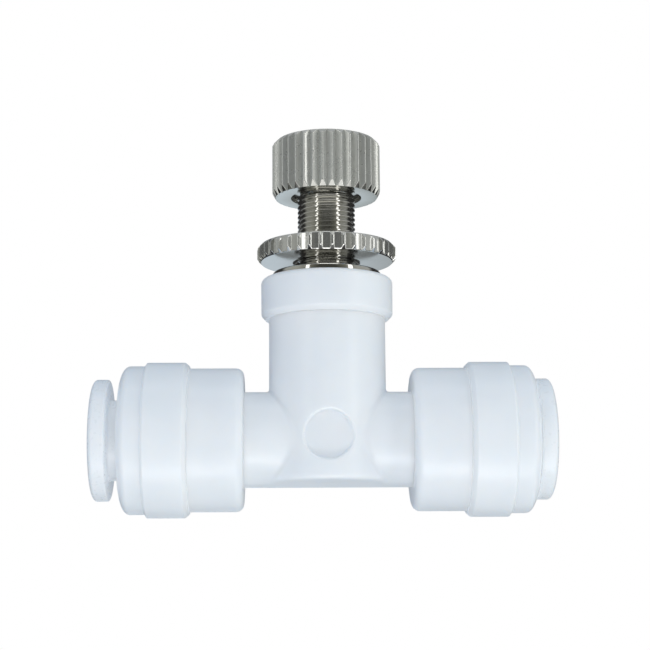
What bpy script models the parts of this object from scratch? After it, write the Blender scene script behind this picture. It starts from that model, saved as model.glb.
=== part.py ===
"""In-line flow control valve with two push-in tube sockets and a lockable needle.

Units are metres. +Z runs up the adjusting screw, and X runs along the tube line.
The origin is the tee centre, where the tube line crosses the screw's axis.
"""
import math

import bmesh
import bpy

MM = 0.001

# Facets round a turned piece and round an O-ring.
SIDES = 32
RING_SIDES = 24
RING_SECTION_SIDES = 8

# Working gaps.
FIT_GAP = 0.07 * MM
FACE_GAP = 0.05 * MM

# Body: arms, bonnet, barrels and the round flats sunk into its front and rear.
ARM_RADIUS = 5.07 * MM
BONNET_RADIUS = 6.23 * MM
BONNET_BOTTOM = -4.65 * MM
BONNET_EDGE = 0.4 * MM
COLLAR_RADIUS = 7.08 * MM
COLLAR_BOTTOM = 12.9 * MM
COLLAR_TOP = 17.3 * MM
COLLAR_CHAMFER = 0.5 * MM
COLLAR_ROUNDING = 0.6 * MM
FLAT_RADIUS = 2.58 * MM
FLAT_REACH = 5.5 * MM
BARREL_RADIUS = 7.6 * MM
BARREL_START = 8.87 * MM
BARREL_END = 14.6 * MM
SPIGOT_RADIUS = 6.88 * MM
SPIGOT_END = 19.55 * MM

# Tube socket, for tube of a quarter of an inch.
TUBE_RADIUS = 3.175 * MM
SOCKET_RADIUS = TUBE_RADIUS + 0.075 * MM
TUBE_STOP = 10.5 * MM
SEAL_SEAT_START = 12.5 * MM
SEAL_SEAT_RADIUS = 5.2 * MM
COLLET_ROOM_START = 15.4 * MM
COLLET_ROOM_RADIUS = 5.7 * MM
SEAL_SECTION = 0.95 * MM
SPACER_START = 14.6 * MM
SPACER_INNER_RADIUS = 3.35 * MM

# Flow path.
PASSAGE_RADIUS = 1.25 * MM
PASSAGE_OFFSET = 1.9 * MM
ORIFICE_RADIUS = 1.0 * MM
SEAT_HEIGHT = 0.6 * MM
CHAMBER_RADIUS = 2.6 * MM
CHAMBER_TOP = 5.2 * MM
BUSHING_BORE_RADIUS = 4.2 * MM

# End cap.
CAP_RADIUS = 8.22 * MM
CAP_FRONT_RADIUS = 7.85 * MM
CAP_RIM_END = 19.07 * MM
CAP_FRONT_START = 19.32 * MM
CAP_ROUND_START = 20.85 * MM
CAP_FACE = 21.95 * MM
CAP_FACE_RADIUS = 5.3 * MM
CAP_HOLE_RADIUS = 4.6 * MM
CAP_WALL_START = 19.7 * MM

# Collet. The left one stands out, and the right one is pressed in against its cap.
COLLET_RADIUS = 6.43 * MM
COLLET_THICKNESS = 1.75 * MM
COLLET_NECK_RADIUS = 4.25 * MM
COLLET_OUT = 23.11 * MM
COLLET_IN = 22.0 * MM
BARB_RADIUS = 5.2 * MM
BARB_FRONT = -3.51 * MM
BARB_BACK = -4.4 * MM
FINGER_TIP = -6.3 * MM
FINGER_SLOT_WIDTH = 0.8 * MM
FINGER_SLOT_END = -1.2 * MM
TOOTH_COUNT = 4
TOOTH_PLACE = -5.0 * MM
TOOTH_THICKNESS = 0.25 * MM
TOOTH_WIDTH = 1.2 * MM
TOOTH_TIP_RADIUS = 3.05 * MM
TOOTH_ROOT_RADIUS = 3.95 * MM

# Bushing, adjusting screw, lock nut and knob.
SCREW_RADIUS = 3.12 * MM
SCREW_BORE_RADIUS = 3.18 * MM
SHANK_RADIUS = 2.3 * MM
SHANK_BORE_RADIUS = 2.35 * MM
BUSHING_RADIUS = 4.15 * MM
BUSHING_BOTTOM = 5.3 * MM
BUSHING_THREAD_START = 12.0 * MM
BUSHING_FLANGE_RADIUS = 5.83 * MM
BUSHING_FLANGE_TOP = 18.0 * MM
BUSHING_SEAL_HEIGHT = 10.85 * MM
BUSHING_SEAL_SECTION = 0.4 * MM
NEEDLE_TIP = 1.0 * MM
NEEDLE_TIP_RADIUS = 0.35 * MM
NEEDLE_LIFT = 2.12 * MM
NEEDLE_TOP_RADIUS = 1.55 * MM
SHANK_BOTTOM = 5.6 * MM
STEM_SEAL_HEIGHT = 8.2 * MM
STEM_SEAL_SECTION = 0.34 * MM
THREAD_BOTTOM = 14.4 * MM
KNOB_RADIUS = 5.88 * MM
KNOB_BOTTOM = 26.4 * MM
KNOB_TOP = 32.67 * MM
KNOB_TEETH = 36
KNOB_TOOTH_TURN = math.radians(4.8)
KNOB_GROOVE_DEPTH = 0.5 * MM
KNOB_GROOVE_FLOOR = 0.0
KNOB_CHAMFERS = ((0.35 * MM, 0.65 * MM), (0.5 * MM, 0.5 * MM))
KNOB_RECESS_RADIUS = 3.78 * MM
KNOB_RECESS_DEPTH = 0.5 * MM
KNOB_SPIGOT_RADIUS = 2.4 * MM
KNOB_SPIGOT_TOP = 31.0 * MM
NUT_RADIUS = 7.51 * MM
NUT_BOTTOM = 19.2 * MM
NUT_TOP = 21.05 * MM
NUT_TEETH = 38
NUT_TOOTH_TURN = math.radians(-1.4)
NUT_GROOVE_DEPTH = 0.36 * MM
NUT_GROOVE_FLOOR = 0.625
NUT_CHAMFERS = ((0.42 * MM, 0.42 * MM), (0.42 * MM, 0.42 * MM))
NUT_COUNTERSINK = 0.5 * MM
KNURL_LAND = 0.125


def clear_scene():
    for item in list(bpy.data.objects):
        bpy.data.objects.remove(item, do_unlink=True)


def make_material(name, colour, roughness, metallic):
    material = bpy.data.materials.new(name)
    material.use_nodes = True
    shader = material.node_tree.nodes["Principled BSDF"]
    shader.inputs["Base Color"].default_value = (*colour, 1.0)
    shader.inputs["Roughness"].default_value = roughness
    shader.inputs["Metallic"].default_value = metallic
    return material


def add_object(name, shape, material=None):
    """Turn a bmesh into a smooth-shaded object of the scene."""
    bmesh.ops.recalc_face_normals(shape, faces=shape.faces)
    mesh = bpy.data.meshes.new(name)
    shape.to_mesh(mesh)
    shape.free()
    mesh.shade_smooth()
    mesh.set_sharp_from_angle(angle=math.radians(30))
    if material:
        mesh.materials.append(material)
    item = bpy.data.objects.new(name, mesh)
    bpy.context.scene.collection.objects.link(item)
    return item


def arc(centre, size, start, end, steps):
    """Points (radius, height) of an elliptical arc, with its angles in degrees."""
    points = []
    for step in range(steps + 1):
        angle = math.radians(start + (end - start) * step / steps)
        points.append((centre[0] + size[0] * math.cos(angle), centre[1] + size[1] * math.sin(angle)))
    return points


def turned(name, outline, material=None, sides=SIDES):
    """Spin an outline of (radius, height) points about Z. Off the axis it is a closed ring."""
    shape = bmesh.new()
    points = [shape.verts.new((radius, 0.0, height)) for radius, height in outline]
    edges = [shape.edges.new(pair) for pair in zip(points, points[1:])]
    if outline[0][0] > 0.0:
        edges.append(shape.edges.new((points[-1], points[0])))
    bmesh.ops.spin(shape, geom=points + edges, cent=(0, 0, 0), axis=(0, 0, 1),
                   angle=math.tau, steps=sides, use_merge=True)
    bmesh.ops.remove_doubles(shape, verts=shape.verts, dist=1e-7)
    return add_object(name, shape, material)


def o_ring(name, radius, section, material):
    """A ring of round section, centred on its own origin."""
    steps = RING_SECTION_SIDES
    outline = arc((radius, 0.0), (section, section), 0, 360 - 360 / steps, steps - 1)
    return turned(name, outline, material, RING_SIDES)


def block(name, size, centre, material=None):
    shape = bmesh.new()
    bmesh.ops.create_cube(shape, size=1.0)
    bmesh.ops.scale(shape, vec=size, verts=shape.verts)
    bmesh.ops.translate(shape, vec=centre, verts=shape.verts)
    return add_object(name, shape, material)


def knurled(name, radius, height, teeth, depth, floor, chamfers, material):
    """A disc standing on its origin, with straight grooves round its rim and both ends chamfered.

    KNURL_LAND and floor are the shares of the pitch that a tooth's land and a groove's floor take.
    The chamfers, lower and upper, are each a cut off the radius and the height it is taken over.
    """
    pitch = math.tau / teeth
    tooth_outline = [(-KNURL_LAND / 2, radius), (KNURL_LAND / 2, radius), (0.5 - floor / 2, radius - depth)]
    if floor > 0.0:
        tooth_outline.append((0.5 + floor / 2, radius - depth))
    shape = bmesh.new()
    outline = []
    for tooth in range(teeth):
        for share, reach in tooth_outline:
            angle = (tooth + share) * pitch
            outline.append(shape.verts.new((reach * math.cos(angle), reach * math.sin(angle), 0.0)))
    layer = shape.faces.new(outline)
    (low_cut, low), (high_cut, high) = chamfers
    rise = 0.0
    for level in (low, height - high, height):
        grown = bmesh.ops.extrude_face_region(shape, geom=[layer])
        if rise > 0.0:
            shape.faces.remove(layer)
        points = [part for part in grown["geom"] if isinstance(part, bmesh.types.BMVert)]
        layer = [part for part in grown["geom"] if isinstance(part, bmesh.types.BMFace)][0]
        bmesh.ops.translate(shape, vec=(0, 0, level - rise), verts=points)
        rise = level
    for point in shape.verts:
        if point.co.z < low / 2:
            limit = radius - low_cut
        elif point.co.z > height - high / 2:
            limit = radius - high_cut
        else:
            continue
        shrink = min(1.0, limit / point.co.xy.length)
        point.co.x *= shrink
        point.co.y *= shrink
    return add_object(name, shape, material)


def combine(item, tool, operation):
    """Boolean a tool into an item, and keep the tool only as a wire guide."""
    change = item.modifiers.new(tool.name, "BOOLEAN")
    change.operation = operation
    change.solver = "EXACT"
    change.object = tool
    tool.hide_render = True
    tool.display_type = "WIRE"


def on_tube_axis(item, side, distance=0.0):
    """Lay a piece along the tube line, its own +Z pointing out of the valve on that side."""
    item.location = (side * distance, 0.0, 0.0)
    item.rotation_euler = (0.0, side * math.pi / 2, 0.0)


def build_valve_body(material):
    rounding = (0.8 * MM, 0.9 * MM)
    corner = (BARREL_RADIUS - rounding[0], BARREL_START + rounding[1])
    half = [(ARM_RADIUS, BARREL_START)]
    half += arc(corner, rounding, -90, 0, 3)
    half += [(BARREL_RADIUS, BARREL_END), (SPIGOT_RADIUS, BARREL_END),
             (SPIGOT_RADIUS, SPIGOT_END), (0.0, SPIGOT_END)]
    mirrored = [(radius, -height) for radius, height in reversed(half)]
    body = turned("valve_body", mirrored + half, material)
    on_tube_axis(body, 1)
    combine(body, bonnet_guide(), "UNION")
    for side, word in ((-1, "rear"), (1, "front")):
        flat = turned(word + "_flat_guide", [(0.0, FLAT_REACH), (FLAT_RADIUS, FLAT_REACH),
                                             (FLAT_RADIUS, BONNET_RADIUS + MM), (0.0, BONNET_RADIUS + MM)])
        flat.rotation_euler = (side * math.pi / 2, 0.0, 0.0)
        combine(body, flat, "DIFFERENCE")
    combine(body, screw_bore_guide(), "DIFFERENCE")
    for side, word in ((-1, "left"), (1, "right")):
        combine(body, socket_guide(word, side), "DIFFERENCE")
        combine(body, passage_guide(word, side), "DIFFERENCE")
    return body


def bonnet_guide():
    rounding = (COLLAR_ROUNDING, COLLAR_ROUNDING)
    corner = (COLLAR_RADIUS - COLLAR_ROUNDING, COLLAR_TOP - COLLAR_ROUNDING)
    outline = [(0.0, BONNET_BOTTOM), (BONNET_RADIUS - BONNET_EDGE, BONNET_BOTTOM),
               (BONNET_RADIUS, BONNET_BOTTOM + BONNET_EDGE), (BONNET_RADIUS, COLLAR_BOTTOM),
               (COLLAR_RADIUS - COLLAR_CHAMFER, COLLAR_BOTTOM),
               (COLLAR_RADIUS, COLLAR_BOTTOM + COLLAR_CHAMFER)]
    outline += arc(corner, rounding, 0, 90, 3)
    outline.append((0.0, COLLAR_TOP))
    return turned("bonnet_guide", outline)


def screw_bore_guide():
    """The orifice, the chamber over its seat, and the bushing's bore."""
    mouth = COLLAR_TOP + 1.0 * MM
    return turned("screw_bore_guide", [
        (0.0, -PASSAGE_OFFSET), (ORIFICE_RADIUS, -PASSAGE_OFFSET), (ORIFICE_RADIUS, SEAT_HEIGHT),
        (CHAMBER_RADIUS, SEAT_HEIGHT), (CHAMBER_RADIUS, CHAMBER_TOP),
        (BUSHING_BORE_RADIUS, CHAMBER_TOP), (BUSHING_BORE_RADIUS, mouth), (0.0, mouth)])


def socket_guide(word, side):
    """The stepped bore for the tube, its seal and its collet."""
    mouth = SPIGOT_END + 1.0 * MM
    guide = turned(word + "_socket_guide", [
        (0.0, TUBE_STOP), (SOCKET_RADIUS, TUBE_STOP), (SOCKET_RADIUS, SEAL_SEAT_START),
        (SEAL_SEAT_RADIUS, SEAL_SEAT_START), (SEAL_SEAT_RADIUS, COLLET_ROOM_START),
        (COLLET_ROOM_RADIUS, COLLET_ROOM_START), (COLLET_ROOM_RADIUS, mouth), (0.0, mouth)])
    on_tube_axis(guide, side)
    return guide


def passage_guide(word, side):
    """The left passage runs under the seat, and the right one leaves above it."""
    start = -1.1 * MM if side < 0 else 0.0
    end = TUBE_STOP + 0.5 * MM
    guide = turned(word + "_passage_guide", [
        (0.0, start), (PASSAGE_RADIUS, start), (PASSAGE_RADIUS, end), (0.0, end)], sides=20)
    on_tube_axis(guide, side)
    guide.location.z = side * PASSAGE_OFFSET
    return guide


def build_end_cap(word, side, material):
    rounding = (CAP_FRONT_RADIUS - CAP_FACE_RADIUS, CAP_FACE - CAP_ROUND_START)
    inner = SPIGOT_RADIUS + FIT_GAP
    start = BARREL_END + FACE_GAP
    outline = [(inner, start), (CAP_FRONT_RADIUS, start), (CAP_RADIUS, start + 0.4 * MM),
               (CAP_RADIUS, CAP_RIM_END), (CAP_FRONT_RADIUS, CAP_FRONT_START)]
    outline += arc((CAP_FACE_RADIUS, CAP_ROUND_START), rounding, 0, 90, 5)
    outline += [(CAP_HOLE_RADIUS, CAP_FACE), (CAP_HOLE_RADIUS, CAP_FACE - 0.9 * MM),
                (BARB_RADIUS - 0.1 * MM, CAP_WALL_START), (inner, CAP_WALL_START)]
    cap = turned(word + "_end_cap", [(r, z - BARREL_END) for r, z in outline], material)
    on_tube_axis(cap, side, BARREL_END)


def build_collet(word, side, distance, plastic, steel):
    """The release ring with its four sprung fingers, and a steel tooth in each finger."""
    rounding = (0.8 * MM, 0.45 * MM)
    corner = (COLLET_RADIUS - rounding[0], COLLET_THICKNESS - rounding[1])
    outline = [(SOCKET_RADIUS, FINGER_TIP + 0.25 * MM), (SOCKET_RADIUS, COLLET_THICKNESS - 0.35 * MM),
               (SOCKET_RADIUS + 0.35 * MM, COLLET_THICKNESS)]
    outline += arc(corner, rounding, 90, 0, 3)
    outline += [(COLLET_RADIUS, 0.15 * MM), (COLLET_RADIUS - 0.15 * MM, 0.0),
                (COLLET_NECK_RADIUS, 0.0), (COLLET_NECK_RADIUS, BARB_FRONT),
                (BARB_RADIUS, BARB_FRONT), (BARB_RADIUS, BARB_BACK),
                (COLLET_NECK_RADIUS, FINGER_TIP), (SOCKET_RADIUS + 0.25 * MM, FINGER_TIP)]
    collet = turned(word + "_collet", outline, plastic)
    on_tube_axis(collet, side, distance)
    middle = (FINGER_SLOT_END + FINGER_TIP) / 2 - 0.5 * MM
    length = FINGER_SLOT_END - FINGER_TIP + 1.0 * MM
    across = 3 * BARB_RADIUS
    for axis, size in (("x", (across, FINGER_SLOT_WIDTH, length)),
                       ("y", (FINGER_SLOT_WIDTH, across, length))):
        slot = block(f"{word}_slot_guide_{axis}", size, (0.0, 0.0, middle))
        slot.parent = collet
        combine(collet, slot, "DIFFERENCE")
    for number in range(TOOTH_COUNT):
        angle = math.tau * (number + 0.5) / TOOTH_COUNT
        pocket = build_pocket(f"{word}_pocket_guide_{number + 1}")
        tooth = build_tooth(f"{word}_tooth_{number + 1}", steel)
        for piece in (pocket, tooth):
            piece.parent = collet
            piece.location.z = TOOTH_PLACE
            piece.rotation_euler.z = angle
        combine(collet, pocket, "DIFFERENCE")


def build_pocket(name):
    inner = TUBE_RADIUS - 0.4 * MM
    outer = TOOTH_ROOT_RADIUS + FIT_GAP
    size = (outer - inner, TOOTH_WIDTH + 2 * FIT_GAP, TOOTH_THICKNESS + 2 * FIT_GAP)
    return block(name, size, ((inner + outer) / 2, 0.0, 0.0))


def build_tooth(name, material):
    """A blade across the finger's inner side, ground to an edge towards the tube."""
    size = (TOOTH_ROOT_RADIUS - TOOTH_TIP_RADIUS, TOOTH_WIDTH, TOOTH_THICKNESS)
    tooth = block(name, size, ((TOOTH_ROOT_RADIUS + TOOTH_TIP_RADIUS) / 2, 0.0, 0.0), material)
    for point in tooth.data.vertices:
        if point.co.x < TUBE_RADIUS and point.co.z > 0.0:
            point.co.z = -TOOTH_THICKNESS / 4
    return tooth


def build_socket_seal(word, side, rubber, plastic):
    """The tube's O-ring and the ring that keeps it on its seat."""
    outer = SEAL_SEAT_RADIUS - FIT_GAP
    seal = o_ring(word + "_tube_o_ring", outer - SEAL_SECTION, SEAL_SECTION, rubber)
    on_tube_axis(seal, side, SEAL_SEAT_START + FACE_GAP + SEAL_SECTION)
    length = COLLET_ROOM_START - SPACER_START - FACE_GAP
    spacer = turned(word + "_spacer_ring", [(SPACER_INNER_RADIUS, 0.0), (outer, 0.0),
                                            (outer, length), (SPACER_INNER_RADIUS, length)], plastic)
    on_tube_axis(spacer, side, SPACER_START)


def build_bushing(metal, rubber):
    groove_radius = BUSHING_RADIUS - 2 * BUSHING_SEAL_SECTION - 0.02 * MM
    groove_low = BUSHING_SEAL_HEIGHT - BUSHING_SEAL_SECTION - 0.15 * MM
    groove_high = BUSHING_SEAL_HEIGHT + BUSHING_SEAL_SECTION + 0.15 * MM
    seat = COLLAR_TOP + FACE_GAP
    outline = [
        (SHANK_BORE_RADIUS + 0.2 * MM, BUSHING_BOTTOM), (BUSHING_RADIUS, BUSHING_BOTTOM),
        (BUSHING_RADIUS, groove_low), (groove_radius, groove_low),
        (groove_radius, groove_high), (BUSHING_RADIUS, groove_high),
        (BUSHING_RADIUS, seat), (BUSHING_FLANGE_RADIUS, seat),
        (BUSHING_FLANGE_RADIUS, BUSHING_FLANGE_TOP - 0.15 * MM),
        (BUSHING_FLANGE_RADIUS - 0.15 * MM, BUSHING_FLANGE_TOP),
        (SCREW_BORE_RADIUS + 0.3 * MM, BUSHING_FLANGE_TOP),
        (SCREW_BORE_RADIUS, BUSHING_FLANGE_TOP - 0.3 * MM),
        (SCREW_BORE_RADIUS, BUSHING_THREAD_START), (SHANK_BORE_RADIUS, BUSHING_THREAD_START),
        (SHANK_BORE_RADIUS, BUSHING_BOTTOM + 0.2 * MM)]
    bushing = turned("threaded_bushing", [(r, z - seat) for r, z in outline], metal)
    bushing.location.z = seat
    seal_radius = BUSHING_RADIUS - BUSHING_SEAL_SECTION
    seal = o_ring("bushing_o_ring", seal_radius, BUSHING_SEAL_SECTION, rubber)
    seal.location.z = BUSHING_SEAL_HEIGHT


def build_needle_stem(metal, rubber):
    """The needle, sealed shank, screw thread and knob spigot, turned in one piece."""
    closing_height = SEAT_HEIGHT + NEEDLE_LIFT
    closing_radius = ORIFICE_RADIUS - 0.04 * MM
    taper = (closing_radius - NEEDLE_TIP_RADIUS) / (closing_height - NEEDLE_TIP)
    needle_top = NEEDLE_TIP + (NEEDLE_TOP_RADIUS - NEEDLE_TIP_RADIUS) / taper
    groove_radius = SHANK_RADIUS - 2 * STEM_SEAL_SECTION - 0.02 * MM
    groove_low = STEM_SEAL_HEIGHT - STEM_SEAL_SECTION - 0.1 * MM
    groove_high = STEM_SEAL_HEIGHT + STEM_SEAL_SECTION + 0.1 * MM
    shoulder = KNOB_BOTTOM + KNOB_RECESS_DEPTH - FACE_GAP
    outline = [
        (0.0, NEEDLE_TIP), (NEEDLE_TIP_RADIUS, NEEDLE_TIP), (closing_radius, closing_height),
        (NEEDLE_TOP_RADIUS, needle_top), (NEEDLE_TOP_RADIUS, SHANK_BOTTOM - 0.4 * MM),
        (SHANK_RADIUS, SHANK_BOTTOM), (SHANK_RADIUS, groove_low), (groove_radius, groove_low),
        (groove_radius, groove_high), (SHANK_RADIUS, groove_high), (SHANK_RADIUS, THREAD_BOTTOM),
        (SCREW_RADIUS - 0.3 * MM, THREAD_BOTTOM), (SCREW_RADIUS, THREAD_BOTTOM + 0.3 * MM),
        (SCREW_RADIUS, shoulder), (KNOB_SPIGOT_RADIUS, shoulder),
        (KNOB_SPIGOT_RADIUS, KNOB_SPIGOT_TOP - 0.2 * MM),
        (KNOB_SPIGOT_RADIUS - 0.2 * MM, KNOB_SPIGOT_TOP), (0.0, KNOB_SPIGOT_TOP)]
    stem = turned("needle_stem", [(r, z - NEEDLE_TIP) for r, z in outline], metal)
    stem.location.z = NEEDLE_TIP
    seal_radius = SHANK_RADIUS + 0.02 * MM - STEM_SEAL_SECTION
    seal = o_ring("stem_o_ring", seal_radius, STEM_SEAL_SECTION, rubber)
    seal.location.z = STEM_SEAL_HEIGHT
    return stem


def build_knob(stem, material):
    """The knob sits on the stem's spigot, with a shallow recess round the screw."""
    knob = knurled("adjusting_knob", KNOB_RADIUS, KNOB_TOP - KNOB_BOTTOM, KNOB_TEETH,
                   KNOB_GROOVE_DEPTH, KNOB_GROOVE_FLOOR, KNOB_CHAMFERS, material)
    bore_radius = KNOB_SPIGOT_RADIUS + FIT_GAP
    bore_top = KNOB_SPIGOT_TOP + FACE_GAP - KNOB_BOTTOM
    guide = turned("knob_bore_guide", [
        (0.0, -1.0 * MM), (KNOB_RECESS_RADIUS, -1.0 * MM), (KNOB_RECESS_RADIUS, KNOB_RECESS_DEPTH),
        (bore_radius, KNOB_RECESS_DEPTH), (bore_radius, bore_top), (0.0, bore_top)])
    combine(knob, guide, "DIFFERENCE")
    guide.parent = knob
    knob.parent = stem
    knob.location.z = KNOB_BOTTOM - NEEDLE_TIP
    knob.rotation_euler.z = KNOB_TOOTH_TURN


def build_lock_nut(material):
    height = NUT_TOP - NUT_BOTTOM
    nut = knurled("lock_nut", NUT_RADIUS, height, NUT_TEETH,
                  NUT_GROOVE_DEPTH, NUT_GROOVE_FLOOR, NUT_CHAMFERS, material)
    wide = SCREW_BORE_RADIUS + NUT_COUNTERSINK
    outline = [(0.0, -1.0 * MM), (wide, -1.0 * MM), (wide, 0.0),
               (SCREW_BORE_RADIUS, NUT_COUNTERSINK), (SCREW_BORE_RADIUS, height - NUT_COUNTERSINK),
               (wide, height), (wide, height + 1.0 * MM), (0.0, height + 1.0 * MM)]
    guide = turned("nut_bore_guide", outline)
    guide.parent = nut
    combine(nut, guide, "DIFFERENCE")
    nut.location.z = NUT_BOTTOM
    nut.rotation_euler.z = NUT_TOOTH_TURN


def main():
    clear_scene()
    plastic = make_material("white_acetal", (0.83, 0.86, 0.90), 0.35, 0.0)
    nickel = make_material("polished_nickel", (0.62, 0.60, 0.56), 0.12, 1.0)
    rubber = make_material("black_nitrile", (0.02, 0.02, 0.02), 0.6, 0.0)
    steel = make_material("spring_steel", (0.55, 0.55, 0.55), 0.3, 1.0)
    build_valve_body(plastic)
    for word, side, collet_place in (("left", -1, COLLET_OUT), ("right", 1, COLLET_IN)):
        build_end_cap(word, side, plastic)
        build_collet(word, side, collet_place, plastic, steel)
        build_socket_seal(word, side, rubber, plastic)
    build_bushing(nickel, rubber)
    stem = build_needle_stem(nickel, rubber)
    build_knob(stem, nickel)
    build_lock_nut(nickel)


main()
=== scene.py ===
"""The finished look of the in-line flow control valve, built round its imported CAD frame."""
import math

import bmesh
import bpy
import numpy as np
from mathutils import Matrix, Vector


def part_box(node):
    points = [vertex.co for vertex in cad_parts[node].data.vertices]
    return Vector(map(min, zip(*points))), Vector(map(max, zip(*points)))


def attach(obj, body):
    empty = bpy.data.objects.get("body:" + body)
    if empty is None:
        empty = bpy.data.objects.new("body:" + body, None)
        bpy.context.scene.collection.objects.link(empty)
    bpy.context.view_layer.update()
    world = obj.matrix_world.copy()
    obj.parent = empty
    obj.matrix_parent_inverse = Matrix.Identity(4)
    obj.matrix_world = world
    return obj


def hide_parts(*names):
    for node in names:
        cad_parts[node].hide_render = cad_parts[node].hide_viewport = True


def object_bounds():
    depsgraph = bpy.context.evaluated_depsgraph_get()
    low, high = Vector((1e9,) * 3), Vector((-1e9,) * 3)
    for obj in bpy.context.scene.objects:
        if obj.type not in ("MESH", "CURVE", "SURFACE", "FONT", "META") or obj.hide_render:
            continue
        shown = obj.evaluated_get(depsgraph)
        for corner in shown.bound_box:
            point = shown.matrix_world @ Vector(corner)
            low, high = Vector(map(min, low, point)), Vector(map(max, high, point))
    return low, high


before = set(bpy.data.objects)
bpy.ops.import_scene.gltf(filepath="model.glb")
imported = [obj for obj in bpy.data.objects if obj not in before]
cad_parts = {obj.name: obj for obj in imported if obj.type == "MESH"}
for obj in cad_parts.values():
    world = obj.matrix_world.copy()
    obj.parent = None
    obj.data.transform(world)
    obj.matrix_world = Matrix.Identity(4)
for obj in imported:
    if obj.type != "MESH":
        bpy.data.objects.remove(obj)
cad_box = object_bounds()

MM = 0.001
TO_MM = 1 / MM
ROUND_STEPS = 192


# ---------------------------------------------------------------- sizes read from the frame

def top(node):
    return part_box(node)[1].z


def bottom(node):
    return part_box(node)[0].z


def reach(node, side):
    """How far a node reaches from the tee centre along the tube line, on that side."""
    low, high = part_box(node)
    return high.x if side > 0 else -low.x


def start(node, side):
    low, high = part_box(node)
    return low.x if side > 0 else -high.x


def radius(node):
    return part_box(node)[1].y


SIDES = (("left", -1), ("right", 1))

# The tee.
ARM_RADIUS = 5.07 * MM
ARM_END = 9.4 * MM
BONNET_RADIUS = 6.23 * MM
BONNET_BOTTOM = -4.65 * MM
COLLAR_BOTTOM = 12.9 * MM
BONNET_TOP = COLLAR_BOTTOM + 0.4 * MM
COLLAR_TOP = top("valve_body")
COLLAR_RADIUS = 7.08 * MM
BARREL_RADIUS = radius("valve_body")
BARREL_START = 8.87 * MM
BARREL_END = 14.64 * MM
SPIGOT_RADIUS = 6.88 * MM
SPIGOT_END = reach("valve_body", 1)
FLAT_RADIUS = 2.58 * MM
FLAT_REACH = 5.5 * MM

# Its soft edges and its remeshed grid, in mm.
BASE_ROUNDING = 0.6
TEE_FILLET = 0.35
FLAT_ROUNDING = 0.2
TEE_VOXEL = 0.14

# Tube socket.
TUBE_STOP = 10.5 * MM
SOCKET_RADIUS = 3.25 * MM
SEAL_SEAT_START = 12.5 * MM
SEAL_SEAT_RADIUS = 5.2 * MM
COLLET_ROOM_START = 15.4 * MM
COLLET_ROOM_RADIUS = 5.7 * MM
SPACER_INNER_RADIUS = 3.35 * MM

# End cap. The depths are measured in from its face.
CAP_GAP = 0.07 * MM
CAP_STEP = 0.37 * MM
CAP_RIM_DEPTH = 2.88 * MM
CAP_FRONT_DEPTH = 2.63 * MM
CAP_ROUND_DEPTH = 1.1 * MM
CAP_FACE_RADIUS = 5.3 * MM
CAP_HOLE_RADIUS = 4.6 * MM
CAP_WALL_DEPTH = 2.25 * MM

# Collet. The depths are measured in from the back of its flange.
COLLET_THICKNESS = 1.78 * MM
COLLET_NECK_RADIUS = 4.25 * MM
BARB_RADIUS = 5.2 * MM
BARB_FRONT = 3.51 * MM
BARB_BACK = 4.4 * MM
FINGER_SLOT_WIDTH = 0.8 * MM
FINGER_SLOT_END = 1.2 * MM
TOOTH_COUNT = 4

# Flow path. The left passage runs below the seat and on past the axis, and the right one above
# the seat. Their starts are in mm.
PASSAGE_RADIUS = 1.25 * MM
PASSAGE_OFFSET = 1.9 * MM
PASSAGE_START = {-1: -1.1, 1: 0.0}
CHAMBER_RADIUS = 2.6 * MM
CHAMBER_TOP = 5.2 * MM
BUSHING_BORE_RADIUS = 4.2 * MM
SEAT_HEIGHT = 0.6 * MM
ORIFICE_RADIUS = 1.0 * MM

# Bushing and adjusting screw.
BUSHING_RADIUS = 4.15 * MM
BUSHING_GROOVE_RADIUS = 3.33 * MM
BUSHING_MOUTH_RADIUS = 3.5 * MM
BUSHING_THREAD_START = 12.0 * MM
SCREW_BORE_RADIUS = 3.18 * MM
SHANK_BORE_RADIUS = 2.35 * MM
SHANK_RADIUS = 2.3 * MM
SHANK_BOTTOM = 5.6 * MM
SHANK_GROOVE_RADIUS = 1.6 * MM
NEEDLE_TIP_RADIUS = 0.35 * MM
NEEDLE_TOP_RADIUS = 1.55 * MM
NEEDLE_LENGTH = 3.39 * MM
THREAD_START = 14.4 * MM
THREAD_PITCH = 0.53 * MM
THREAD_DEPTH = 0.3 * MM
THREAD_ROWS_PER_PITCH = 12
THREAD_COLUMNS = 96

# Knob and lock nut. Each chamfer is a radial cut and a height, the lower one first.
KNOB_RADIUS = 5.88 * MM
KNOB_TEETH = 36
KNOB_TOOTH_TURN = math.radians(4.8)
KNOB_GROOVE_DEPTH = 0.5 * MM
KNOB_GROOVE_FLOOR = 0.0
KNOB_CHAMFERS = ((0.35 * MM, 0.65 * MM), (0.5 * MM, 0.5 * MM))
KNOB_RECESS_RADIUS = 3.78 * MM
KNOB_RECESS_DEPTH = 0.5 * MM
KNOB_BORE_RADIUS = 2.47 * MM
KNOB_BORE_DEPTH = 1.6 * MM
KNOB_SPIGOT_RADIUS = 2.4 * MM
NUT_RADIUS = 7.51 * MM
NUT_TEETH = 38
NUT_TOOTH_TURN = math.radians(-1.4)
NUT_GROOVE_DEPTH = 0.36 * MM
NUT_GROOVE_FLOOR = 0.625
NUT_CHAMFERS = ((0.42 * MM, 0.42 * MM), (0.42 * MM, 0.42 * MM))
NUT_MOUTH_RADIUS = 3.68 * MM
NUT_COUNTERSINK = 0.5 * MM
RIM_INSET = 0.6 * MM
KNURL_STEPS = 32
KNURL_LAND = 0.125
KNURL_EDGE = 0.05 * MM
KNURL_END_LEVELS = 15
KNURL_MIDDLE_LEVELS = 5


# ---------------------------------------------------------------- mesh building

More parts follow.
